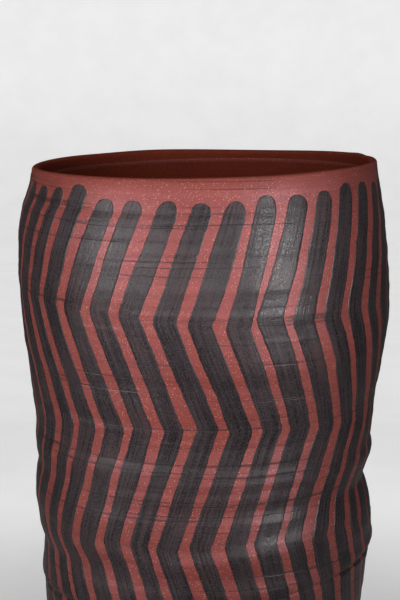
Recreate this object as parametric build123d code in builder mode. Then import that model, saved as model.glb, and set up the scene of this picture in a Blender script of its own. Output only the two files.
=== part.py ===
from build123d import *
import os
from collections import namedtuple

# Tall wide-mouthed jar of red clay: a floor slab, four thrown rings and a lip coil,
# luted one on the other. The rings wobble, so every level of the wall is a circle on a
# plane with a lean of its own, and each ring is lofted through the levels it spans.
# Millimetres, +Z up, origin at the middle of the underside, +X on the right.

# Heights of the clay pieces, from the ground up
floor_thickness = 10
foot_height = 124
lower_belly_height = 41.5
upper_belly_height = 72.5
shoulder_height = 173
lip_height = 9

# Outside radii of the wall, from the ground up
base_radius = 98
heel_radius = 103
foot_radius = 112
foot_swell_radius = 118.5
crease_radius = 122.2
lower_belly_radius = 124.2
waist_radius = 121.3
upper_belly_radius = 126.8
join_radius = 124.7
shoulder_rise_radius = 130.6
shoulder_radius = 136
shoulder_turn_radius = 131.2
neck_radius = 125.4
rim_radius = 124.3

# Lean of each level in degrees, with the right side up where it is positive
foot_lean = 2
foot_swell_lean = 3
crease_lean = 6.2
lower_belly_lean = 7.5
waist_lean = 12
upper_belly_lean = 12
join_lean = 2
shoulder_rise_lean = -3
shoulder_lean = -7
shoulder_turn_lean = -3
rim_lean = 1.2

# The lower belly sits this far to the right of the axis
lower_belly_drift = 2

# Where the levels between two seams stand, as a share of their own ring's height
foot_share = 0.34
foot_swell_share = 0.7
lower_belly_share = 0.385
upper_belly_share = 0.49
shoulder_rise_share = 0.26
shoulder_share = 0.58
shoulder_turn_share = 0.845

# Thickness of the clay, and the rounding of its edges
foot_wall = 9
wall = 7
lip_wall = 5.5
base_round = 3
rim_round = 2.4

# The luted seams: a scored ridge on the lower piece keys into a groove above it
key_width = 3
key_depth = 2
lute_gap = 0.2

# Every level of the wall
Level = namedtuple("Level", "height radius thickness lean drift")
heel = Level(floor_thickness, heel_radius, foot_wall, 0, 0)
foot = Level(heel.height + foot_share * foot_height, foot_radius, wall, foot_lean, 0)
foot_swell = Level(
    heel.height + foot_swell_share * foot_height, foot_swell_radius, wall, foot_swell_lean, 0
)
crease = Level(heel.height + foot_height, crease_radius, wall, crease_lean, lower_belly_drift)
lower_belly = Level(
    crease.height + lower_belly_share * lower_belly_height,
    lower_belly_radius, wall, lower_belly_lean, lower_belly_drift,
)
waist = Level(crease.height + lower_belly_height, waist_radius, wall, waist_lean, 0)
upper_belly = Level(
    waist.height + upper_belly_share * upper_belly_height,
    upper_belly_radius, wall, upper_belly_lean, 0,
)
join = Level(waist.height + upper_belly_height, join_radius, wall, join_lean, 0)
shoulder_rise = Level(
    join.height + shoulder_rise_share * shoulder_height,
    shoulder_rise_radius, wall, shoulder_rise_lean, 0,
)
shoulder = Level(
    join.height + shoulder_share * shoulder_height, shoulder_radius, wall, shoulder_lean, 0
)
shoulder_turn = Level(
    join.height + shoulder_turn_share * shoulder_height,
    shoulder_turn_radius, wall, shoulder_turn_lean, 0,
)
neck = Level(join.height + shoulder_height, neck_radius, lip_wall, rim_lean, 0)


def leaning(level):
    return Plane((level.drift, 0, level.height)).rotated((0, -level.lean, 0))


def upright(level):
    # Stands on a leaning level, with its X along the radius and its Y up the level's axis
    seam = leaning(level)
    return Plane(seam.origin, x_dir=seam.x_dir, z_dir=-seam.y_dir)


def axis_of(level):
    seam = leaning(level)
    return Axis(seam.origin, seam.z_dir)


def rounds(levels, hollow=False):
    # The outside of the wall at each level, or the hollow that the clay leaves inside it
    sections = []
    for level in levels:
        with BuildSketch(leaning(level)) as section:
            Circle(level.radius - level.thickness if hollow else level.radius)
        sections.append(section.sketch)
    return sections


def key(level, depth):
    # A triangle in the middle of the clay at a seam, for the ridge or for its groove
    middle = level.radius - level.thickness / 2
    with BuildSketch(upright(level)) as profile:
        with BuildLine():
            Polyline(
                (middle - key_width / 2, 0),
                (middle, depth),
                (middle + key_width / 2, 0),
                close=True,
            )
        make_face()
    return profile.sketch


def ridge(level):
    revolve(key(level, key_depth), axis=axis_of(level))


def groove(level):
    revolve(key(level, key_depth + lute_gap), axis=axis_of(level), mode=Mode.SUBTRACT)


def save(piece, name):
    piece.part.label = name
    export_step(piece.part, f"parts/{name}.step")


os.makedirs("parts", exist_ok=True)

# Floor slab: a disc with a softened lower edge
with BuildPart() as floor_slab:
    with BuildSketch(Plane.XZ) as slab_half:
        with BuildLine():
            Polyline(
                (0, 0),
                (base_radius, 0),
                (heel_radius, floor_thickness),
                (0, floor_thickness),
                close=True,
            )
        make_face()
        fillet(slab_half.vertices().group_by(Axis.Y)[0].sort_by(Axis.X)[-1], base_round)
    revolve(axis=Axis.Z)
    ridge(heel)
save(floor_slab, "floor_slab")

# The four rings of the wall, each with a groove below and a ridge on top
rings = {
    "foot_ring": [heel, foot, foot_swell, crease],
    "lower_belly_ring": [crease, lower_belly, waist],
    "upper_belly_ring": [waist, upper_belly, join],
    "shoulder_ring": [join, shoulder_rise, shoulder, shoulder_turn, neck],
}
for name, levels in rings.items():
    with BuildPart() as ring:
        loft(rounds(levels))
        loft(rounds(levels, hollow=True), mode=Mode.SUBTRACT)
        ridge(levels[-1])
        groove(levels[0])
    save(ring, name)

# Lip coil: a short collar with a rounded crest, turned about the leaning rim's own axis
with BuildPart() as lip_coil:
    with BuildSketch(upright(neck)) as lip_half:
        with BuildLine():
            Polyline(
                (neck_radius - lip_wall, 0),
                (neck_radius, 0),
                (rim_radius, lip_height),
                (rim_radius - lip_wall, lip_height),
                close=True,
            )
        make_face()
        fillet(lip_half.vertices().group_by(Axis.Y)[-1], rim_round)
    revolve(axis=axis_of(neck))
    groove(neck)
save(lip_coil, "lip_coil")
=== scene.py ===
import math

import bpy
import numpy as np
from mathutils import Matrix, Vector
from mathutils.bvhtree import BVHTree


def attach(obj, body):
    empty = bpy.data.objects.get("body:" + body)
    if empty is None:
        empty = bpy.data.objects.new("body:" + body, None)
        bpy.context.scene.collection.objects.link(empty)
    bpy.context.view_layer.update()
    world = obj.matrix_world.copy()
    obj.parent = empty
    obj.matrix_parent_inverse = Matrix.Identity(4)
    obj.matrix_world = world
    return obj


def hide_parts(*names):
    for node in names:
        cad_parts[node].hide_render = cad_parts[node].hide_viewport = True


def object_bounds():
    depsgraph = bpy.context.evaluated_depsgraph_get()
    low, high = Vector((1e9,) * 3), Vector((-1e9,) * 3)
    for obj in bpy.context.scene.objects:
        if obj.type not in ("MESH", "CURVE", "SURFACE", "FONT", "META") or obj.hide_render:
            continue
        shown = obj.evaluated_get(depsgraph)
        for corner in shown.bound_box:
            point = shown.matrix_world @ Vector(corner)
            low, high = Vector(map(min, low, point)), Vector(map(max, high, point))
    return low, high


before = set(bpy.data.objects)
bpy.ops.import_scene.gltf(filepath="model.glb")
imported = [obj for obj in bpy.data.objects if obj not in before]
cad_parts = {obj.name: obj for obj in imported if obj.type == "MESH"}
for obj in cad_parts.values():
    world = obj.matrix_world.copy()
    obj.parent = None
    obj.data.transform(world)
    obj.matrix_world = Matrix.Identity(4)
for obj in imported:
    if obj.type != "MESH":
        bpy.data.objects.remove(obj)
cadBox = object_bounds()
scene = bpy.context.scene
scene.view_settings.view_transform = "Standard"
jarHeight = cadBox[1].z
fullTurn = 2 * math.pi
print("frame loaded, jar stands", round(jarHeight, 4), "m tall")

# The wall is read off the clay once, so that every finer mesh sits where the clay is
wallReading = {
    "turns": 288,            # readings round the jar
    "lowest": 0.00403,       # just off the seam heights, so no reading slips between two pieces
    "step": 0.001,
    "steps": 421,
    "softTurns": 3.4,        # evens out the facets, in readings
    "softSteps": 3.0,
    "castFrom": 0.3,         # the outside is read from this far off the axis
    "floorClear": 0.0115,    # the inside isn't read below this
    "flatFrom": 0.95,        # faces that point up this much are the top of a ring
    "seamTries": 5,
}


def clayTree():
    points, faces = [], []
    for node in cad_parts.values():
        start = len(points)
        points += [v.co.copy() for v in node.data.vertices]
        faces += [[start + i for i in p.vertices] for p in node.data.polygons]
    return BVHTree.FromPolygons(points, faces)


def bellWeights(width):
    steps = np.arange(-int(3 * width), int(3 * width) + 1)
    weights = np.exp(-0.5 * (steps / width) ** 2)
    return weights / weights.sum()


def soften(grid):
    rows, columns = grid.shape
    weights = bellWeights(wallReading["softTurns"])
    reach = len(weights) // 2
    wide = np.pad(grid, ((0, 0), (reach, reach)), mode="wrap")
    grid = sum(w * wide[:, k:k + columns] for k, w in enumerate(weights))
    weights = bellWeights(wallReading["softSteps"])
    reach = len(weights) // 2
    tall = np.pad(grid, ((reach, reach), (0, 0)), mode="reflect", reflect_type="odd")
    return sum(w * tall[k:k + rows] for k, w in enumerate(weights))


def readWall(tree, inside):
    grid = np.zeros((wallReading["steps"], wallReading["turns"]))
    for column in range(wallReading["turns"]):
        turn = column * fullTurn / wallReading["turns"]
        out = Vector((math.cos(turn), math.sin(turn), 0))
        for row in range(wallReading["steps"]):
            height = wallReading["lowest"] + row * wallReading["step"]
            if inside:
                start = Vector((0, 0, max(height, wallReading["floorClear"])))
                hit = tree.ray_cast(start, out)[0]
            else:
                start = Vector((0, 0, height)) + out * wallReading["castFrom"]
                hit = tree.ray_cast(start, -out)[0]
            grid[row, column] = hit.xy.length if hit else grid[row - 1, column]
    return soften(grid)


def cubicWeight(distance):
    d = np.abs(distance)
    near = (1.5 * d - 2.5) * d * d + 1
    far = ((-0.5 * d + 2.5) * d - 4) * d + 2
    return np.where(d < 1, near, np.where(d < 2, far, 0))


def smoothRead(grid, across, up):
    # Reads between the values of a grid that closes on itself from side to side
    rows, columns = grid.shape
    across, up = np.broadcast_arrays(across, np.clip(up, 0, rows - 1))
    left, low = np.floor(across).astype(int), np.floor(up).astype(int)
    total = np.zeros(across.shape)
    for i in range(-1, 3):
        rowWeight = cubicWeight(up - low - i)
        row = np.clip(low + i, 0, rows - 1)
        for j in range(-1, 3):
            total += rowWeight * cubicWeight(across - left - j) * grid[row, (left + j) % columns]
    return total


def wallAt(grid, turn, height):
    return smoothRead(
        grid, turn / fullTurn * wallReading["turns"],
        (height - wallReading["lowest"]) / wallReading["step"],
    )


def handNoise(turn, height, cellsRound, cellRise, seed):
    rows = int(jarHeight / cellRise) + 4
    grid = np.random.default_rng(seed).uniform(-1, 1, (rows, cellsRound))
    return smoothRead(grid, turn / fullTurn * cellsRound, height / cellRise + 1)


def topOf(nodeName):
    # The leaning plane that a ring ends on, as a point and an upright direction
    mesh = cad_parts[nodeName].data
    flat = [p for p in mesh.polygons if p.normal.z > wallReading["flatFrom"]]
    area = sum(p.area for p in flat)
    point = sum((p.center * p.area for p in flat), Vector()) / area
    up = sum((p.normal * p.area for p in flat), Vector()).normalized()
    return point, up


def seamHeight(seam, turn, grid):
    point, up = seam
    height = np.full(np.shape(turn), point.z)
    for _ in range(wallReading["seamTries"]):
        radius = wallAt(grid, turn, height)
        acrossX = radius * np.cos(turn) - point.x
        acrossY = radius * np.sin(turn) - point.y
        height = point.z - (up.x * acrossX + up.y * acrossY) / up.z
    return height


clay = clayTree()
outer, inner = readWall(clay, False), readWall(clay, True)
seams = {
    "heel": topOf("floor_slab"),
    "crease": topOf("foot_ring"),
    "waist": topOf("lower_belly_ring"),
    "join": topOf("upper_belly_ring"),
    "neck": topOf("shoulder_ring"),
}
print("wall read, radius", outer.min().round(4), "to", outer.max().round(4))

# What the fingers left on the wall: cells round the jar, rise of one cell, height of the relief
wallRelief = {
    "ridges": (5, 0.0068, 0.00030),
    "fineRidges": (7, 0.0031, 0.00013),
    "dents": (9, 0.055, 0.0004),
    "innerRidges": (4, 0.0105, 0.0005),
    "creaseSteps": 720,        # places round the jar where the crease's height is known
    "creaseDepth": 0.0020,
    "creaseWidth": 0.0016,
    "creaseLeast": 0.25,       # share of its depth that the crease keeps at the front and the back
    "creaseRoll": 0.0008,      # the clay that the crease pushed up above itself
    "rollRise": 0.0055,
    "rollWidth": 0.0042,
    "footFade": 0.012,         # the foot is flat, so the marks die out towards it
    "cove": 0.014,             # rounds the corner between the wall and the floor inside
    "coveShare": 0.8,
    "seed": 310,
}
# Where a hand pushed the wall out or in: bearing, height, reach round, reach up, amount
handPushes = [
    (0, 0.2200, 42, 0.0075, 0.0028),
    (0, 0.1990, 40, 0.0055, -0.0010),
    (0, 0.3230, 40, 0.0150, 0.0010),
    (0, 0.2430, 40, 0.0080, -0.0005),
    (0, 0.1530, 36, 0.0060, 0.0010),
    (180, 0.1860, 40, 0.0120, 0.0015),
    (180, 0.1640, 36, 0.0060, 0.0010),
    (180, 0.2130, 36, 0.0070, -0.0014),
    (180, 0.1410, 36, 0.0045, -0.0007),
    (180, 0.3100, 44, 0.0450, 0.0008),
    (180, 0.4110, 40, 0.0110, -0.0006),
    (180, 0.0900, 40, 0.0110, -0.0019),
    (298, 0.1855, 24, 0.0165, 0.0042),
    (314, 0.1890, 16, 0.0130, 0.0014),
    (280, 0.1770, 16, 0.0120, 0.0020),
    (285, 0.1580, 34, 0.0075, -0.0012),
    (280, 0.2750, 44, 0.0200, 0.0021),
    (282, 0.2300, 40, 0.0170, -0.0021),
    (270, 0.2010, 32, 0.0140, -0.0019),
    (274, 0.1660, 26, 0.0095, 0.0013),
    (240, 0.1660, 26, 0.0095, 0.0012),
    (240, 0.1500, 26, 0.0075, -0.0009),
    (236, 0.2470, 24, 0.0120, 0.0007),
    (236, 0.2100, 24, 0.0120, -0.0006),
    (304, 0.2600, 22, 0.0110, 0.0006),
    (292, 0.3050, 32, 0.0200, 0.0026),
]


def turnsFrom(bearing, turn):
    # the shorter way round, in radians
    return (turn - math.radians(bearing) + math.pi) % fullTurn - math.pi


def pushed(turn, height):
    total = 0
    for bearing, centre, reach, rise, amount in handPushes:
        off = turnsFrom(bearing, turn) / math.radians(reach)
        above = (height - centre) / rise
        total = total + amount * np.exp(-off ** 2 - above ** 2)
    return total


def fingerMarks(turn, height, kind, seed):
    cellsRound, cellRise, amount = wallRelief[kind]
    return amount * handNoise(turn, height, cellsRound, cellRise, wallRelief["seed"] + seed)


creaseTurns = np.linspace(0, fullTurn, wallRelief["creaseSteps"] + 1)
creaseHeights = seamHeight(seams["crease"], creaseTurns, outer)


def outsideAt(turn, height):
    marks = fingerMarks(turn, height, "ridges", 1) + fingerMarks(turn, height, "fineRidges", 2)
    marks = marks + fingerMarks(turn, height, "dents", 3) + pushed(turn, height)
    above = height - np.interp(turn % fullTurn, creaseTurns, creaseHeights)
    groove = np.exp(-(above / wallRelief["creaseWidth"]) ** 2)
    roll = np.exp(-((above - wallRelief["rollRise"]) / wallRelief["rollWidth"]) ** 2)
    least = wallRelief["creaseLeast"]
    strength = least + (1 - least) * np.cos(turn) ** 2
    marks = marks + strength * (wallRelief["creaseRoll"] * roll - wallRelief["creaseDepth"] * groove)
    return wallAt(outer, turn, height) + marks * np.clip(height / wallRelief["footFade"], 0, 1)


def insideAt(turn, height):
    cove = np.clip(1 - (height - seams["heel"][0].z) / wallRelief["cove"], 0, 1)
    rounded = wallRelief["cove"] * (1 - np.sqrt(1 - cove ** 2)) * wallRelief["coveShare"]
    return wallAt(inner, turn, height) + fingerMarks(turn, height, "innerRidges", 4) - rounded


ringMesh = {
    "columns": 384,
    "outerRise": 0.0011,
    "innerRise": 0.0035,
    "sharpAngle": math.radians(50),
    "mapEdge": 0.004,                # bare border of the map
    "lipShadeAndMatt": 0.5,                     # painted shade on the lip's outside, with more roughness, at most this share of the inside finish
    "lipShadeReach": (-0.006, 0.009),    # from where to where, from the neck's seam up
}
columnTurns = np.arange(ringMesh["columns"]) * fullTurn / ringMesh["columns"]


def upright(turn, radius, height):
    return np.stack(np.broadcast_arrays(radius * np.cos(turn), radius * np.sin(turn), height), axis=-1)


def bandFaces(i, j, rows, columns):
    # the four corners of each cell between neighbouring rows and columns of points
    up, on = (i + 1) % rows, (j + 1) % columns
    corners = [i * columns + j, i * columns + on, up * columns + on, up * columns + j]
    return np.stack(corners, axis=-1).reshape(-1, 4)


def addPiece(name, points, faces, faceMap):
    mesh = bpy.data.meshes.new(name)
    mesh.from_pydata(points.reshape(-1, 3).tolist(), [], faces)
    layer = mesh.uv_layers.new(name="OFBake")
    layer.data.foreach_set("uv", np.asarray(faceMap, dtype=np.float32).ravel())
    mesh.shade_smooth()
    mesh.set_sharp_from_angle(angle=ringMesh["sharpAngle"])
    mesh.validate()
    piece = bpy.data.objects.new(name, mesh)
    scene.collection.objects.link(piece)
    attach(piece, "root")
    return piece


def markInside(piece, amounts):
    # rougher where the fingers never burnished the clay; the colour there is darkened as painted shade
    layer = piece.data.attributes.new("inwardShade", "FLOAT", "POINT")
    layer.data.foreach_set("value", amounts.astype(np.float32))


def shadedLip(points):
    # painted shade: the outside of the lip is darkened and made rougher, more so towards its crest
    point, up = seams["neck"]
    low, high = ringMesh["lipShadeReach"]
    above = (points - np.array(point)) @ np.array(up)
    share = np.clip((above - low) / (high - low), 0, 1)
    return ringMesh["lipShadeAndMatt"] * share ** 2 * (3 - 2 * share)


def addRing(name, loop, node, insideFrom):
    # loop goes up the outside and down the inside for every column; it closes on itself both ways
    rows, columns = loop.shape[:2]
    i, j = np.meshgrid(np.arange(rows), np.arange(columns), indexing="ij")
    faces = bandFaces(i, j, rows, columns).tolist()
    # the map holds the band in two halves, one above the other
    steps = np.linalg.norm(np.roll(loop[:, 0], -1, axis=0) - loop[:, 0], axis=-1)
    along = np.concatenate([[0], np.cumsum(steps)]) / steps.sum()
    half, edge = columns // 2, ringMesh["mapEdge"]
    left, floor = (j % half) / half, 0.5 * (j // half) + edge
    right, low, high = left + 1 / half, along[i], along[i + 1]
    sides = edge + (1 - 2 * edge) * np.stack([left, right, right, left], axis=-1)
    rise = floor[..., None] + (0.5 - 2 * edge) * np.stack([low, low, high, high], axis=-1)
    piece = addPiece(name, loop, faces, np.stack([sides, rise], axis=-1))
    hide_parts(node)
    # painted shade: from insideFrom on, the rows take the darker inside finish; the lip's outside gets
    # some of it too
    inwardShade = np.clip((np.arange(rows) - insideFrom) / 2 + 0.5, 0, 1)
    markInside(piece, np.maximum(inwardShade[:, None], shadedLip(loop)).ravel())
    return piece


def wallRing(name, node, low, high):
    lowOut, highOut = (seamHeight(seams[s], columnTurns, outer) for s in (low, high))
    lowIn, highIn = (seamHeight(seams[s], columnTurns, inner) for s in (low, high))
    tall = (highOut - lowOut).max()
    outShares = np.linspace(0, 1, int(tall / ringMesh["outerRise"]) + 2)[:, None]
    inShares = np.linspace(1, 0, int(tall / ringMesh["innerRise"]) + 2)[:, None]
    outHeights = lowOut + outShares * (highOut - lowOut)
    inHeights = lowIn + inShares * (highIn - lowIn)
    outside = upright(columnTurns, outsideAt(columnTurns[None], outHeights), outHeights)
    inside = upright(columnTurns, insideAt(columnTurns[None], inHeights), inHeights)
    return addRing(name, np.concatenate([outside, inside]), node, len(outside))


clayPieces = [
    wallRing("footRing", "foot_ring", "heel", "crease"),
    wallRing("lowerBellyRing", "lower_belly_ring", "crease", "waist"),
    wallRing("upperBellyRing", "upper_belly_ring", "waist", "join"),
    wallRing("shoulderRing", "shoulder_ring", "join", "neck"),
]
print("wall rings made:", [len(p.data.polygons) for p in clayPieces], "faces")

lipCoil = {
    "taper": 0.0011,       # the collar draws in by this much towards its crest
    "roundRise": 0.0027,
    "roundPower": 0.8,
    "roundSteps": 14,
    "sideSteps": 6,
    "waver": 0.00022,      # the crest isn't quite level
    "waverCells": 16,
    "thicken": 0.00018,
    "thickenCells": 23,
    "cellRise": 0.1,
    "seed": 97,
}
# Where the crest dips or rises: bearing, reach round, amount
crestDips = [(66, 34, -0.0024), (19, 5, 0.0005), (12, 4, -0.0004), (128, 14, -0.0005)]


def lipNoise(cells, seed):
    return handNoise(columnTurns, np.zeros_like(columnTurns), cells, lipCoil["cellRise"], seed)


def makeLip():
    point, up = seams["neck"]
    lipHeight = max((v.co - point).dot(up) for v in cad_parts["lip_coil"].data.vertices)
    outBase = seamHeight(seams["neck"], columnTurns, outer)
    inBase = seamHeight(seams["neck"], columnTurns, inner)
    outRadius, inRadius = outsideAt(columnTurns, outBase), insideAt(columnTurns, inBase)
    crest = lipHeight + lipCoil["waver"] * (lipNoise(lipCoil["waverCells"], lipCoil["seed"]) - 1)
    for bearing, reach, amount in crestDips:
        crest = crest + amount * np.exp(-(turnsFrom(bearing, columnTurns) / math.radians(reach)) ** 2)
    fat = lipCoil["thicken"] * lipNoise(lipCoil["thickenCells"], lipCoil["seed"] + 1)
    straight = crest - lipCoil["roundRise"]
    drawn = lipCoil["taper"] * straight / crest
    middle = (outRadius + inRadius) / 2
    halfWall = (outRadius - inRadius) / 2
    rows = []
    for share in np.linspace(0, 1, lipCoil["sideSteps"]):
        radius = outRadius - drawn * share + fat * share
        rows.append(upright(columnTurns, radius, outBase + share * straight))
    for angle in np.linspace(0, math.pi, lipCoil["roundSteps"] + 1)[1:-1]:
        radius = middle - drawn + (halfWall + fat) * math.cos(angle)
        base = outBase + (inBase - outBase) * (1 - math.cos(angle)) / 2
        rise = lipCoil["roundRise"] * math.sin(angle) ** lipCoil["roundPower"]
        rows.append(upright(columnTurns, radius, base + straight + rise))
    for share in np.linspace(1, 0, lipCoil["sideSteps"]):
        radius = inRadius - drawn * share - fat * share
        rows.append(upright(columnTurns, radius, inBase + share * straight))
    # painted shade: a quarter of the way over the crest the lip begins to take the darker inside finish
    insideFrom = lipCoil["sideSteps"] + lipCoil["roundSteps"] // 4
    return addRing("lipCoil", np.stack(rows), "lip_coil", insideFrom)


clayPieces.append(makeLip())
print("lip made")

floorSlab = {
    "inset": 0.0021,       # of the foot's edge, from the lowest reading of the wall
    "edgeRound": 0.003,
    "edgeTurn": 1.1,       # radians of the rounding, then the side goes on up
    "edgeSplay": 0.0006,
    "roundSteps": 5,
    "sideRows": 6,
    "sideFrom": 0.0042,    # the wall isn't read below this
    "discRows": 30,
    "middle": 0.02,        # share of the radius that one small disc closes
    "spiral": 0.0006,      # the finger's spiral on the floor inside
    "spiralPitch": 0.011,
    "spiralEnd": 0.88,
    "spiralFade": 0.1,
    "underLines": 0.00005,
    "underPitch": 150,
    "underEnd": 0.97,
    "mapDiscs": (0.25, 0.75, 0.74),    # middles of the underside and the floor across, and of both up
    "mapScale": 0.235 / 0.11,          # share of the map to a metre
    "mapSide": (0.02, 0.44),           # where the side's strip starts, and how tall it is
}


def makeSlab():
    columns = ringMesh["columns"] // 2
    turns = np.arange(columns) * fullTurn / columns
    top = seams["heel"][0].z
    edge = floorSlab["edgeRound"]
    foot = wallAt(outer, turns, wallReading["lowest"]).mean() - floorSlab["inset"]
    rows = []
    for share in np.linspace(floorSlab["middle"], 1, floorSlab["discRows"]):
        wave = 1 + math.sin(share * floorSlab["underPitch"])
        lines = floorSlab["underLines"] * wave * (share < floorSlab["underEnd"])
        rows.append(upright(turns, share * (foot - edge), np.full(columns, lines)))
    for angle in np.linspace(0, floorSlab["edgeTurn"], floorSlab["roundSteps"])[1:]:
        out = foot - edge * (1 - math.sin(angle)) + floorSlab["edgeSplay"] * angle
        rows.append(upright(turns, out, np.full(columns, edge * (1 - math.cos(angle)))))
    lastHeight = rows[-1][0, 2]
    for height in np.linspace(lastHeight, top, floorSlab["sideRows"] + 1)[1:]:
        readAt = np.full(columns, max(height, floorSlab["sideFrom"]))
        rows.append(upright(turns, outsideAt(turns, readAt), height))
    rim = np.linalg.norm(rows[-1][:, :2], axis=1)
    for share in np.linspace(1, floorSlab["middle"], floorSlab["discRows"])[1:]:
        radius = rim * share
        wave = np.sin(radius / floorSlab["spiralPitch"] * fullTurn + turns)
        fade = np.clip((floorSlab["spiralEnd"] - share) / floorSlab["spiralFade"], 0, 1)
        fade = fade * np.clip(share / floorSlab["spiralFade"], 0, 1)
        rows.append(upright(turns, radius, top + floorSlab["spiral"] * (0.5 + 0.5 * wave) * fade))
    points = np.stack(rows)
    count = len(points)
    i, j = np.meshgrid(np.arange(count - 1), np.arange(columns), indexing="ij")
    faces = bandFaces(i, j, count, columns).tolist()
    underRows = floorSlab["discRows"]
    topStart = count - floorSlab["discRows"]
    flat = np.linalg.norm(points[..., :2], axis=-1) * floorSlab["mapScale"]
    underX, floorX, discY = floorSlab["mapDiscs"]
    sideStart, sideTall = floorSlab["mapSide"]

    def discSpot(row, column):
        turn = column * fullTurn / columns
        reach = flat[row, column % columns]
        across = underX if row < underRows else floorX
        return across + reach * math.cos(turn), discY + reach * math.sin(turn)

    def sideSpot(row, column):
        up = (row - underRows + 1) / (topStart - underRows + 1)
        return column / columns, sideStart + sideTall * up

    faceMap = []
    for row in range(count - 1):
        spot = sideSpot if underRows - 1 <= row < topStart else discSpot
        for k in range(columns):
            faceMap += [spot(row, k), spot(row, k + 1), spot(row + 1, k + 1), spot(row + 1, k)]
    # small discs close the middles
    faces.append(list(range(columns - 1, -1, -1)))
    faceMap += [discSpot(0, k) for k in range(columns - 1, -1, -1)]
    faces.append([(count - 1) * columns + k for k in range(columns)])
    faceMap += [discSpot(count - 1, k) for k in range(columns)]
    piece = addPiece("floorSlab", points, faces, faceMap)
    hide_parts("floor_slab")
    markInside(piece, (np.arange(count) >= topStart).repeat(columns))
    return piece


clayPieces.append(makeSlab())
print("floor made")

# Brushed slip: upright strokes that bend to and fro at the same heights all round
slipStrokes = {
    "count": 36,
    "legs": 5,
    "lowest": 0.017,
    "highest": 0.4185,
    "swing": math.radians(6.3),
    "endSwing": 0.75,       # the first and last bends swing less
    "wave": 0.0035,         # the bends rise and fall a little on their way round
    "waveShift": 1.7,
    "share": 0.69,          # of the room between the middles of two strokes
    "bendSoft": 0.0015,
    "centreStep": 0.0005,
    "endSpare": 0.03,       # drawn past both ends before the bends are softened
    "coat": 0.00018,
    "edgeBead": 0.00007,
    "beadPlace": 0.87,      # from the middle of the stroke to its edge
    "beadWidth": 0.09,
    "beadLevel": (0.25, 1.4, 1.6),    # mean, swing and most of its height
    "beadCell": 0.007,
    "edgeThin": 0.45,
    "edgeUnder": 0.00005,
    "bristles": 0.00010,
    "bristleCells": 12,
    "bristleLength": 0.03,
    "overlap": 0.00012,     # a second load of slip where one pull of the brush meets the next
    "overlapReach": (0.003, 0.013),
    "overlapFade": 2.2,
    "sink": 0.00035,
    "rowStep": 0.0014,
    "endRound": 0.0075,
    "endRows": 9,
    "endLength": (0.9, 1.5),
    "endPower": 2.2,
    "heightJitter": 0.0016,
    "turnJitter": math.radians(0.35),
    "widthJitter": 0.07,
    "swell": 0.06,
    "swellCell": 0.045,
    "edgeWander": 0.00055,
    "wanderCell": 0.024,
    "edgeNicks": 0.00018,
    "nickCell": 0.0055,
    "edgeRagged": 0.00013,
    "mapGap": 0.04,         # bare share on both sides of a stroke's strip of the map
    "mapEnd": 0.012,
    "mapCap": 0.004,
    "brushApart": 0.05,     # keeps the streaks of two strokes from matching
    "seed": 2204,
}
acrossShares = np.array([-1, -0.96, -0.88, -0.76, -0.55, -0.3, 0, 0.3, 0.55, 0.76, 0.88, 0.96, 1])
underColumns = [-3, 2]      # the shell's underside lies beneath these


def strokeCentre(number, dice):
    # Middle line of one stroke, as turns and heights at short steps
    corners = np.arange(slipStrokes["legs"] + 1)
    middle = (number + 0.5) / slipStrokes["count"] * fullTurn
    bends = np.linspace(slipStrokes["lowest"], slipStrokes["highest"], len(corners))
    bends = bends + slipStrokes["wave"] * np.sin(2 * middle + corners * slipStrokes["waveShift"])
    bends = bends + dice.normal(0, slipStrokes["heightJitter"], len(corners))
    offsets = np.where(corners % 2, 1.0, -1.0) * slipStrokes["swing"]
    offsets = offsets + dice.normal(0, slipStrokes["turnJitter"], len(corners))
    offsets[[0, -1]] *= slipStrokes["endSwing"]
    step, spare = slipStrokes["centreStep"], slipStrokes["endSpare"]
    heights = np.arange(bends[0] - spare, bends[-1] + spare, step)
    turns = middle + np.interp(heights, bends, offsets)
    weights = bellWeights(slipStrokes["bendSoft"] / step)
    turns = np.convolve(np.pad(turns, len(weights) // 2, mode="edge"), weights, mode="valid")
    keep = (heights >= bends[0]) & (heights <= bends[-1])
    return turns[keep], heights[keep], bends


def lineNoise(places, length, cell, dice):
    values = dice.uniform(-1, 1, (1, int(length / cell) + 6))
    return smoothRead(values, places / cell + 2, np.zeros_like(places))


def slipLift(rows, length, height, bends, dice):
    # How far the coat stands off the clay, along the stroke and across it
    fromMiddle = np.abs(acrossShares)
    mean, swing, most = slipStrokes["beadLevel"]
    beads = np.clip(mean + swing * lineNoise(rows, length, slipStrokes["beadCell"], dice), 0, most)
    cells, cell = slipStrokes["bristleCells"], slipStrokes["bristleLength"]
    bristleGrid = dice.uniform(-1, 1, (int(length / cell) + 4, cells + 2))
    bristles = smoothRead(bristleGrid, (acrossShares + 1) / 2 * cells, rows[:, None] / cell + 1)
    lift = slipStrokes["coat"] + slipStrokes["bristles"] * bristles
    reach = dice.uniform(*slipStrokes["overlapReach"], len(bends))
    fromBend = (np.abs(height[:, None] - bends) / reach).min(axis=1)
    second = np.clip(slipStrokes["overlapFade"] * (1 - fromBend), 0, 1)
    lift = lift + slipStrokes["overlap"] * second[:, None]
    ridge = np.exp(-((fromMiddle - slipStrokes["beadPlace"]) / slipStrokes["beadWidth"]) ** 2)
    lift = lift + slipStrokes["edgeBead"] * beads[:, None] * ridge
    # the coat thins at its edge, and the very edge lies just under the clay
    lift[:, [1, -2]] *= slipStrokes["edgeThin"]
    lift[:, [0, -1]] = -slipStrokes["edgeUnder"]
    return lift


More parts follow.
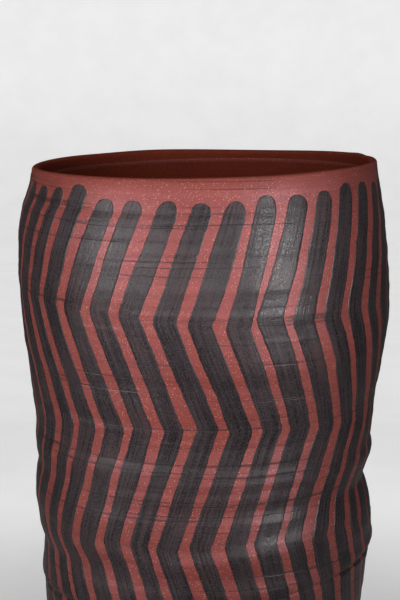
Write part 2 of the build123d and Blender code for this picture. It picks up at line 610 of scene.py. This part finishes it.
def strokeShell(number):
    # One stroke as a closed shell: rows along it, a loop of points round it
    dice = np.random.default_rng(slipStrokes["seed"] + number)
    turns, heights, bends = strokeCentre(number, dice)
    radius = wallAt(outer, turns, heights)
    sideways = np.gradient(turns) * radius
    upwards = np.gradient(heights)
    stepLength = np.hypot(sideways, upwards)
    walked = np.cumsum(stepLength) - stepLength[0]
    length = walked[-1]
    # rows lie closer together where the ends are rounded
    end = slipStrokes["endRound"]
    curl = end * (1 - np.cos(np.linspace(0, math.pi / 2, slipStrokes["endRows"])))[1:-1]
    body = np.linspace(end, length - end, int((length - 2 * end) / slipStrokes["rowStep"]) + 1)
    rows = np.concatenate([curl, body, length - curl[::-1]])
    turn, height = np.interp(rows, walked, turns), np.interp(rows, walked, heights)
    goSide = np.interp(rows, walked, sideways / stepLength)
    goUp = np.interp(rows, walked, upwards / stepLength)
    here = np.interp(rows, walked, radius)
    wide = slipStrokes["share"] * fullTurn * here / slipStrokes["count"] * 0.5 * goUp
    wide = wide * (1 + slipStrokes["widthJitter"] * dice.normal())
    swelling = lineNoise(rows, length, slipStrokes["swellCell"], dice)
    wide = wide * (1 + slipStrokes["swell"] * swelling)
    fromEnd = np.minimum(rows, length - rows) / (end * dice.uniform(*slipStrokes["endLength"]))
    closing = np.sqrt(1 - np.clip(1 - fromEnd, 0, 1) ** slipStrokes["endPower"])
    edges = []
    for _ in range(2):
        wander = slipStrokes["edgeWander"] * lineNoise(rows, length, slipStrokes["wanderCell"], dice)
        nicks = slipStrokes["edgeNicks"] * lineNoise(rows, length, slipStrokes["nickCell"], dice)
        ragged = slipStrokes["edgeRagged"] * dice.normal(0, 1, len(rows))
        edges.append(wide + wander + nicks + ragged)
    side = np.where(acrossShares < 0, edges[0][:, None], edges[1][:, None])
    side = side * closing[:, None] * acrossShares
    lift = slipLift(rows, length, height, bends, dice)
    spotTurn = turn[:, None] + side * goUp[:, None] / here[:, None]
    spotHeight = height[:, None] - side * goSide[:, None]
    top = upright(spotTurn, outsideAt(spotTurn, spotHeight) + lift, spotHeight)
    # the underside lies a little way into the clay
    underTurn, underHeight = spotTurn[:, underColumns], spotHeight[:, underColumns]
    under = upright(underTurn, outsideAt(underTurn, underHeight) - slipStrokes["sink"], underHeight)
    brush = np.concatenate([side, side[:, underColumns]], axis=1) + slipStrokes["brushApart"] * number
    return np.concatenate([top, under], axis=1), rows, brush


def makeStrokes(name, numbers):
    points, faces, faceMap, brushMap = [], [], [], []
    start = 0
    gap, mapEnd, cap = slipStrokes["mapGap"], slipStrokes["mapEnd"], slipStrokes["mapCap"]
    strip = 1 - 2 * gap
    for place, number in enumerate(numbers):
        loop, rows, brush = strokeShell(number)
        count, around = loop.shape[:2]
        i, j = np.meshgrid(np.arange(count - 1), np.arange(around), indexing="ij")
        k = (j + 1) % around
        faces += (start + bandFaces(i, j, count, around)).tolist()
        # every stroke has an upright strip of the map
        along = mapEnd + (1 - 2 * mapEnd) * rows / rows[-1]
        left = (place + gap + strip * j / around) / len(numbers)
        right = left + strip / around / len(numbers)
        low, high = along[i], along[i + 1]
        corners = [left, low, right, low, right, high, left, high]
        faceMap.append(np.stack(corners, axis=-1).reshape(-1, 2))
        near, far = rows[i] + number, rows[i + 1] + number
        corners = [brush[i, j], near, brush[i, k], near, brush[i + 1, k], far, brush[i + 1, j], far]
        brushMap.append(np.stack(corners, axis=-1).reshape(-1, 2))
        # both ends are closed
        for row, order in ((0, np.arange(around)[::-1]), (count - 1, np.arange(around))):
            faces.append((start + row * around + order).tolist())
            spread = (place + gap + strip * order / around) / len(numbers)
            rim = (cap if row == 0 else 1 - 2 * cap) + cap * np.sin(order / around * math.pi)
            faceMap.append(np.stack([spread, rim], axis=-1))
            walked = np.full(around, rows[row] + number)
            brushMap.append(np.stack([brush[row, order], walked], axis=-1))
        points.append(loop.reshape(-1, 3))
        start += count * around
    piece = addPiece(name, np.concatenate(points), faces, np.concatenate(faceMap))
    layer = piece.data.uv_layers.new(name="brush")
    layer.data.foreach_set("uv", np.concatenate(brushMap).astype(np.float32).ravel())
    return piece


third = slipStrokes["count"] // 3
strokes = [
    makeStrokes("slipStrokesRight", range(0, third)),
    makeStrokes("slipStrokesLeft", range(third, 2 * third)),
    makeStrokes("slipStrokesFront", range(2 * third, slipStrokes["count"])),
]
print("strokes made:", slipStrokes["count"], "with", [len(p.data.polygons) for p in strokes], "faces")


def addNode(tree, kind, **values):
    node = tree.nodes.new(kind)
    for name, value in values.items():
        node.inputs[name].default_value = value
    return node


def noiseOn(tree, place, scale, detail=2.0, rough=0.5):
    node = addNode(tree, "ShaderNodeTexNoise", Scale=scale, Detail=detail, Roughness=rough)
    tree.links.new(place, node.inputs["Vector"])
    return node.outputs["Fac"]


def stretched(tree, place, x, y, z):
    node = addNode(tree, "ShaderNodeMapping", Scale=(x, y, z))
    tree.links.new(place, node.inputs["Vector"])
    return node.outputs["Vector"]


def between(tree, value, low, high, toLow=0.0, toHigh=1.0, way="LINEAR"):
    node = addNode(tree, "ShaderNodeMapRange")
    node.interpolation_type = way
    for name, number in (("From Min", low), ("From Max", high), ("To Min", toLow), ("To Max", toHigh)):
        node.inputs[name].default_value = number
    tree.links.new(value, node.inputs["Value"])
    return node.outputs["Result"]


def blendColours(tree, amount, first, second):
    node = tree.nodes.new("ShaderNodeMix")
    node.data_type = "RGBA"
    for socket, value in ((node.inputs[0], amount), (node.inputs[6], first), (node.inputs[7], second)):
        if isinstance(value, bpy.types.NodeSocket):
            tree.links.new(value, socket)
        else:
            socket.default_value = (*value, 1)
    return node.outputs[2]


def reckon(tree, way, first, second):
    node = tree.nodes.new("ShaderNodeMath")
    node.operation = way
    for socket, value in zip(node.inputs, (first, second)):
        if isinstance(value, bpy.types.NodeSocket):
            tree.links.new(value, socket)
        else:
            socket.default_value = value
    return node.outputs[0]


def weighed(tree, values, weights):
    total = 0.0
    for value, weight in zip(values, weights):
        total = reckon(tree, "ADD", reckon(tree, "MULTIPLY", value, weight), total)
    return total


def layOver(tree, colour, amount, share, shade):
    return blendColours(tree, reckon(tree, "MULTIPLY", amount, share), colour, shade)


def newFinish(name):
    material = bpy.data.materials.new(name)
    material.use_nodes = True
    tree = material.node_tree
    shader = tree.nodes["Principled BSDF"]
    place = tree.nodes.new("ShaderNodeTexCoord").outputs["Object"]
    return material, tree, shader, place


def giveRelief(tree, shader, height, settings):
    bump = addNode(tree, "ShaderNodeBump", Strength=settings["bump"], Distance=settings["bumpDepth"])
    tree.links.new(height, bump.inputs["Height"])
    tree.links.new(bump.outputs["Normal"], shader.inputs["Normal"])


# Marks of the wheel that run level round the jar, in clay and slip alike
wheelMarks = {
    "bands": (5, 150, 3),        # scale round the jar, scale up it, detail
    "striae": (9, 620, 2),
    "lines": (4, 470, 1),
    "patches": (7, 24, 1),       # where the lines show
    "lineEdge": (0.355, 0.315),  # where in its noise a mark begins to show, and where it shows in full
    "patchEdge": (0.42, 0.50),
    "striaeEdge": (0.46, 0.30),
    "grainEdge": (0.42, 0.26),   # of a speck, or of a grain of grit that is also painted as a glint
}


def levelNoise(tree, place, kind):
    around, up, detail = wheelMarks[kind]
    return noiseOn(tree, stretched(tree, place, around, around, up), 1.0, detail)


def wheelLines(tree, place):
    # hairlines that fade in and out
    lines = between(tree, levelNoise(tree, place, "lines"), *wheelMarks["lineEdge"])
    patches = between(tree, levelNoise(tree, place, "patches"), *wheelMarks["patchEdge"])
    return reckon(tree, "MULTIPLY", lines, patches)


def scattered(tree, place, scale, pickFrom, pickTo):
    # small round grains; only those whose lot falls above the pick show
    cells = addNode(tree, "ShaderNodeTexVoronoi", Scale=scale, Randomness=1.0)
    tree.links.new(place, cells.inputs["Vector"])
    lot = tree.nodes.new("ShaderNodeSeparateColor")
    tree.links.new(cells.outputs["Color"], lot.inputs[0])
    near = between(tree, cells.outputs["Distance"], *wheelMarks["grainEdge"])
    return reckon(tree, "MULTIPLY", near, between(tree, lot.outputs[0], pickFrom, pickTo))


redClay = {
    "pale": (0.434, 0.087, 0.065),
    "deep": (0.345, 0.058, 0.040),
    # the inside colour is painted shade: much darker than the clay outside
    "inside": (0.182, 0.028, 0.012),
    "line": (0.100, 0.022, 0.017),
    "speck": (0.86, 0.40, 0.27),
    "sheenTint": (0.86, 0.83, 1.0),
    "insideShadeTint": (0.30, 0.12, 0.08),
    "specular": 0.82,
    "rough": (0.41, 0.53),
    "roughEdge": (0.3, 0.7),
    "insideRough": 0.9,
    "mottle": (17, 5, 0.6),            # scale, detail, roughness
    "mottleEdge": (0.32, 0.68),
    "paleBands": (0.56, 0.72),
    "deepBands": (0.44, 0.28),
    "grain": (950, 2, 0.6),
    "grainEdge": (0.38, 0.62),
    "specks": (1150, 0.84, 0.88),      # scale, then the pick
    # how strongly each of them shows
    "bandShare": 0.6,
    "striaeShare": 0.30,
    "grainShare": 0.36,
    "lineShare": 0.95,
    "speckShare": 0.9,
    "insideShadeShare": 0.85,
    "relief": (0.75, 0.7, 0.30, -0.8),    # grain, bands, striae, lines
    "bump": 0.5,
    "bumpDepth": 0.0005,
}


def clayFinish():
    material, tree, shader, place = newFinish("redClay")
    pale, deep, line = redClay["pale"], redClay["deep"], redClay["line"]
    mottle = noiseOn(tree, place, *redClay["mottle"])
    bands = levelNoise(tree, place, "bands")
    striae = levelNoise(tree, place, "striae")
    grain = noiseOn(tree, place, *redClay["grain"])
    lines = wheelLines(tree, place)
    specks = scattered(tree, place, *redClay["specks"])
    mark = tree.nodes.new("ShaderNodeAttribute")
    mark.attribute_name = "inwardShade"
    inwardShade = mark.outputs["Fac"]
    bandShare = redClay["bandShare"]
    colour = blendColours(tree, between(tree, mottle, *redClay["mottleEdge"]), deep, pale)
    colour = blendColours(tree, between(tree, bands, *redClay["paleBands"], 0, bandShare), colour, pale)
    colour = blendColours(tree, between(tree, bands, *redClay["deepBands"], 0, bandShare), colour, deep)
    scored = between(tree, striae, *wheelMarks["striaeEdge"], 0, redClay["striaeShare"])
    colour = blendColours(tree, scored, colour, line)
    grainy = between(tree, grain, *redClay["grainEdge"], 0, redClay["grainShare"])
    colour = blendColours(tree, grainy, colour, line)
    colour = layOver(tree, colour, lines, redClay["lineShare"], line)
    colour = layOver(tree, colour, specks, redClay["speckShare"], redClay["speck"])
    # painted shade: the darker inside colour inside the jar, over the lip's crest and on its upper
    # outside
    colour = layOver(tree, colour, inwardShade, redClay["insideShadeShare"], redClay["inside"])
    tree.links.new(colour, shader.inputs["Base Color"])
    rough = between(tree, grain, *redClay["roughEdge"], *redClay["rough"])
    rougher = reckon(tree, "MULTIPLY", inwardShade, redClay["insideRough"] - redClay["rough"][1])
    tree.links.new(reckon(tree, "ADD", rough, rougher), shader.inputs["Roughness"])
    shader.inputs["Specular IOR Level"].default_value = redClay["specular"]
    # the sheen is dimmed there too, as part of the same painted shade
    tint = blendColours(tree, inwardShade, redClay["sheenTint"], redClay["insideShadeTint"])
    tree.links.new(tint, shader.inputs["Specular Tint"])
    height = weighed(tree, (grain, bands, striae, lines), redClay["relief"])
    giveRelief(tree, shader, height, redClay)
    return material


blackSlip = {
    "thick": (0.0240, 0.0165, 0.0186),
    "thin": (0.0620, 0.0425, 0.0475),
    "dry": (0.125, 0.036, 0.032),
    # pale grains that stand for grit and are painted as glints on the slip
    "gritAndGlints": (0.140, 0.128, 0.132),
    "specular": 0.4,
    "rough": (0.25, 0.49),
    "brushScale": (620, 14, 1),        # across the brush, then along it
    "streaks": (1, 3, 0.6),            # scale, detail, roughness
    "broad": (32, 4, 0.55),
    "grain": (1080, 1, 0.6),
    "load": (0.65, 0.35),              # of slip on the brush: from the streaks, from the broad noise
    "loadEdge": (0.43, 0.59),
    "bareEdge": (0.52, 0.70),
    "dryEdge": (0.48, 0.68),
    "gloss": (0.35, 0.65),             # from the streaks, from the grain
    "glossEdge": (0.40, 0.60),
    "gritGlintPick": (1450, 0.62, 0.74),    # scale, then the pick
    # how strongly each of them shows
    "dryShare": 0.7,
    "gritGlintShare": 0.75,
    "striaeShare": 0.20,
    "lineShare": 0.55,
    "relief": (0.65, 0.30, 0.22, 0.35, 0.15, -0.5),    # streaks, grain, grit, bands, striae, lines
    "bump": 0.7,
    "bumpDepth": 0.0005,
}


def slipFinish():
    material, tree, shader, place = newFinish("blackSlip")
    thick = blackSlip["thick"]
    along = tree.nodes.new("ShaderNodeUVMap")
    along.uv_map = "brush"
    brushed = stretched(tree, along.outputs[0], *blackSlip["brushScale"])
    streaks = noiseOn(tree, brushed, *blackSlip["streaks"])
    broad = noiseOn(tree, place, *blackSlip["broad"])
    grain = noiseOn(tree, place, *blackSlip["grain"])
    gritAndGlints = scattered(tree, place, *blackSlip["gritGlintPick"])
    bands = levelNoise(tree, place, "bands")
    striae = levelNoise(tree, place, "striae")
    lines = wheelLines(tree, place)
    load = weighed(tree, (streaks, broad), blackSlip["load"])
    colour = blendColours(tree, between(tree, load, *blackSlip["loadEdge"]), thick, blackSlip["thin"])
    # the clay shows through where the brush ran dry
    bare = between(tree, broad, *blackSlip["bareEdge"])
    dry = reckon(tree, "MULTIPLY", bare, between(tree, streaks, *blackSlip["dryEdge"]))
    colour = layOver(tree, colour, dry, blackSlip["dryShare"], blackSlip["dry"])
    # painted highlights: the grains of grit are coloured much paler than the slip, as glints
    colour = layOver(tree, colour, gritAndGlints, blackSlip["gritGlintShare"], blackSlip["gritAndGlints"])
    scored = between(tree, striae, *wheelMarks["striaeEdge"], 0, blackSlip["striaeShare"])
    colour = blendColours(tree, scored, colour, thick)
    colour = layOver(tree, colour, lines, blackSlip["lineShare"], thick)
    tree.links.new(colour, shader.inputs["Base Color"])
    gloss = weighed(tree, (streaks, grain), blackSlip["gloss"])
    rough = between(tree, gloss, *blackSlip["glossEdge"], *blackSlip["rough"])
    tree.links.new(rough, shader.inputs["Roughness"])
    shader.inputs["Specular IOR Level"].default_value = blackSlip["specular"]
    height = weighed(tree, (streaks, grain, gritAndGlints, bands, striae, lines), blackSlip["relief"])
    giveRelief(tree, shader, height, blackSlip)
    return material


clayMaterial = clayFinish()
for piece in clayPieces:
    piece.data.materials.append(clayMaterial)
slipMaterial = slipFinish()
for piece in strokes:
    piece.data.materials.append(slipMaterial)
print("finishes set")

backdrop = {
    "rings": (0.15, 0.4, 0.8, 1.4, 2.4),    # radii of the flat floor, before it bends up into the wall
    "bend": 0.6,
    "bendSteps": 12,
    "top": 2.8,
    "columns": 96,
    "level": -0.0003,
    "nearColour": (0.60, 0.60, 0.60),
    "farColour": (0.20, 0.20, 0.20),
    "dimFrom": 0.4,         # beyond this the paper gives little light back to the jar
    "dimTo": 1.1,
    "rough": 0.9,
    "specular": 0.1,
    "footGlow": 0.36,       # lifts the paper for the eye alone
    "floorGlow": 0.27,      # further lift over the open floor, then towards the wall, then up it
    "farGlow": 0.11,
    "wallGlow": 0.09,
    "mirrored": 0.08,       # how much of that the slip's sheen picks up
    "footEnd": 0.20,
    "floorEnd": 0.66,
    "farEnd": 1.25,
    "wallEnd": 0.5,         # a height
    "clouds": 0.032,        # faint mottling of the paper
    "cloudNoise": (14, 4, 0.65),
    "cloudEdge": (0.25, 0.75),
}


def makePaper():
    bend, radius, level = backdrop["bend"], backdrop["rings"][-1], backdrop["level"]
    line = [(ring, level) for ring in backdrop["rings"]]
    for angle in np.linspace(0, math.pi / 2, backdrop["bendSteps"] + 1)[1:]:
        line.append((radius + bend * math.sin(angle), level + bend * (1 - math.cos(angle))))
    line.append((radius + bend, backdrop["top"]))
    columns = backdrop["columns"]
    turns = np.arange(columns) * fullTurn / columns
    points = np.concatenate([upright(turns, r, np.full(columns, z)) for r, z in line])
    i, j = np.meshgrid(np.arange(len(line) - 1), np.arange(columns), indexing="ij")
    faces = bandFaces(i, j, len(line), columns)[:, [0, 3, 2, 1]]    # facing up and inwards
    mesh = bpy.data.meshes.new("backdrop")
    mesh.from_pydata(points.tolist(), [], [list(range(columns)), *faces.tolist()])
    mesh.shade_smooth()
    paper = bpy.data.objects.new("backdrop", mesh)
    scene.collection.objects.link(paper)
    return paper


def paperFinish():
    material, tree, shader, place = newFinish("paleBackdrop")
    soft = "SMOOTHERSTEP"
    shader.inputs["Roughness"].default_value = backdrop["rough"]
    shader.inputs["Specular IOR Level"].default_value = backdrop["specular"]
    shader.inputs["Emission Color"].default_value = (1, 1, 1, 1)
    away = tree.nodes.new("ShaderNodeVectorMath")
    away.operation = "LENGTH"
    tree.links.new(place, away.inputs[0])
    far = away.outputs["Value"]
    split = tree.nodes.new("ShaderNodeSeparateXYZ")
    tree.links.new(place, split.inputs[0])
    dim = between(tree, far, backdrop["dimFrom"], backdrop["dimTo"], way=soft)
    colour = blendColours(tree, dim, backdrop["nearColour"], backdrop["farColour"])
    tree.links.new(colour, shader.inputs["Base Color"])
    lifts = (
        between(tree, far, backdrop["footEnd"], backdrop["floorEnd"], way=soft),
        between(tree, far, backdrop["floorEnd"], backdrop["farEnd"], way=soft),
        between(tree, split.outputs["Z"], 0.0, backdrop["wallEnd"], way=soft),
    )
    glow = weighed(tree, lifts, (backdrop["floorGlow"], backdrop["farGlow"], backdrop["wallGlow"]))
    glow = reckon(tree, "ADD", glow, backdrop["footGlow"])
    uneven = backdrop["clouds"]
    clouds = noiseOn(tree, place, *backdrop["cloudNoise"])
    clouds = between(tree, clouds, *backdrop["cloudEdge"], 1 - uneven, 1 + uneven)
    glow = reckon(tree, "MULTIPLY", glow, clouds)
    # only the eye and reflections see the paler paper; it adds no light to the jar
    light = tree.nodes.new("ShaderNodeLightPath")
    mirrored = reckon(tree, "MULTIPLY", light.outputs["Is Glossy Ray"], backdrop["mirrored"])
    seen = reckon(tree, "ADD", light.outputs["Is Camera Ray"], light.outputs["Is Transmission Ray"])
    seen = reckon(tree, "ADD", seen, mirrored)
    tree.links.new(reckon(tree, "MULTIPLY", glow, seen), shader.inputs["Emission Strength"])
    return material


makePaper().data.materials.append(paperFinish())

# Lamps: bearing from the viewer's side in degrees, distance, height, width, tall, watts, spread, aim
studioLight = {
    "frontFill": (3.5, 1.25, 0.395, 0.42, 0.18, 0.66, 48, (0, 0, 0.345)),
    "frontSheen": (4, 1.20, 0.42, 0.40, 0.45, 0.120, 32, (0, 0, 0.39)),
    "leftFill": (-62, 1.20, 0.42, 0.26, 0.36, 0.24, 48, (-0.03, 0, 0.36)),
    "leftSheen": (-61, 1.20, 0.50, 0.42, 0.70, 0.390, 32, (0, 0, 0.40)),
    "middleSheen": (-32, 1.20, 0.50, 0.34, 0.60, 0.250, 34, (0, 0, 0.40)),
    "rightSheen": (43, 1.20, 0.49, 0.52, 0.56, 0.66, 34, (0, 0, 0.40)),
    "topBox": (0, 0.34, 1.45, 0.60, 0.50, 0.66, 80, (0, 0, 0.38)),
    "wellFill": (0, 0.085, 0.36, 0.14, 0.08, 0.018, 80, (0, 0.12, 0.40)),
    "backFill": (180, 1.60, 0.36, 0.80, 0.24, 1.6, 60, (0, 0, 0.25)),
}
roomLight = 0.015    # from all round


def makeLights():
    for name, (bearing, distance, height, wide, tall, watts, spread, aim) in studioLight.items():
        lamp = bpy.data.lights.new(name, "AREA")
        lamp.shape = "RECTANGLE"
        lamp.size, lamp.size_y = wide, tall
        lamp.energy = watts
        lamp.spread = math.radians(spread)
        holder = bpy.data.objects.new(name, lamp)
        turn = math.radians(bearing)
        holder.location = (distance * math.sin(turn), -distance * math.cos(turn), height)
        towards = Vector(aim) - holder.location
        holder.rotation_euler = towards.to_track_quat("-Z", "Y").to_euler()
        holder.visible_camera = False
        holder.visible_glossy = not name.endswith("Fill")       # fills light without a gleam
        holder.visible_diffuse = not name.endswith("Sheen")     # sheens gleam and do no more
        scene.collection.objects.link(holder)
    world = bpy.data.worlds.new("studio")
    world.use_nodes = True
    scene.world = world
    surface = world.node_tree.nodes["Background"]
    surface.inputs["Color"].default_value = (1, 1, 1, 1)
    surface.inputs["Strength"].default_value = roomLight


makeLights()

viewer = {
    "place": (-0.0030, -1.120, 0.530),
    "down": 10.26,
    "lens": 92.75,
}
camera = bpy.data.objects.new("viewer", bpy.data.cameras.new("viewer"))
camera.location = viewer["place"]
camera.rotation_euler = (math.radians(90 - viewer["down"]), 0, 0)
camera.data.lens = viewer["lens"]
camera.data.dof.use_dof = False
scene.collection.objects.link(camera)
scene.camera = camera
print("backdrop, lights and camera set")
